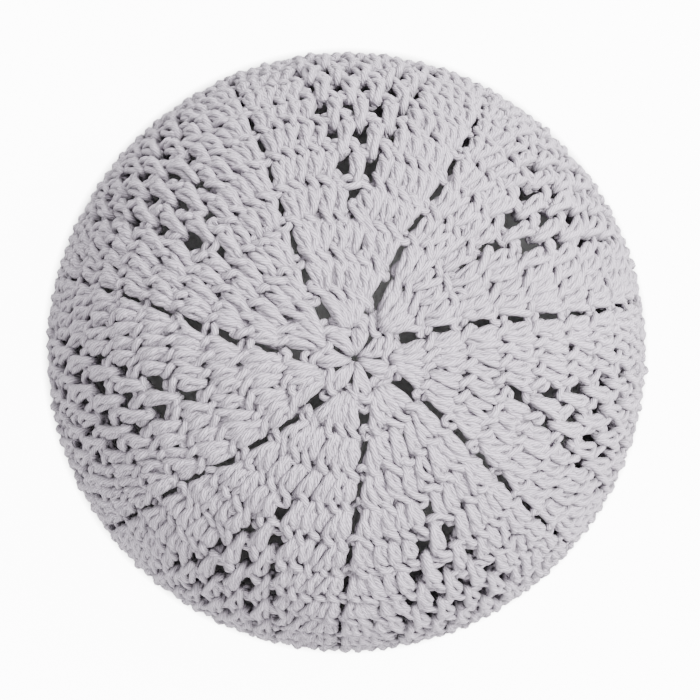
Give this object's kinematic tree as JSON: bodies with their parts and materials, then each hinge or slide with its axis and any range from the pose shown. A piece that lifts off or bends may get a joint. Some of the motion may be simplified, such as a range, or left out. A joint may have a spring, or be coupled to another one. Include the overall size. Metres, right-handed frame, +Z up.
{
  "type": "crocheted kufi skull cap",
  "caption": "Round crocheted skull cap with a domed crown, ladders of eyelets running down it, wedges of lace gaps between them and an open hollow for the head.",
  "frame": {"origin": "centre of the rim's lower edge, which is the middle of the bounding box's bottom face", "axes": "+Z up through the crown's centre; +Y is the top of the reference picture, which looks down on the crown; the spiral's seam is 62 degrees anticlockwise from +X"},
  "size_m": [0.184, 0.184, 0.082],
  "materials": {
    "cotton_yarn": "soft matte plied cotton, light grey with a faint cool tint"
  },
  "bodies": {
    "root": {"crocheted_cap": "cotton_yarn"}
  },
  "joints": []
}
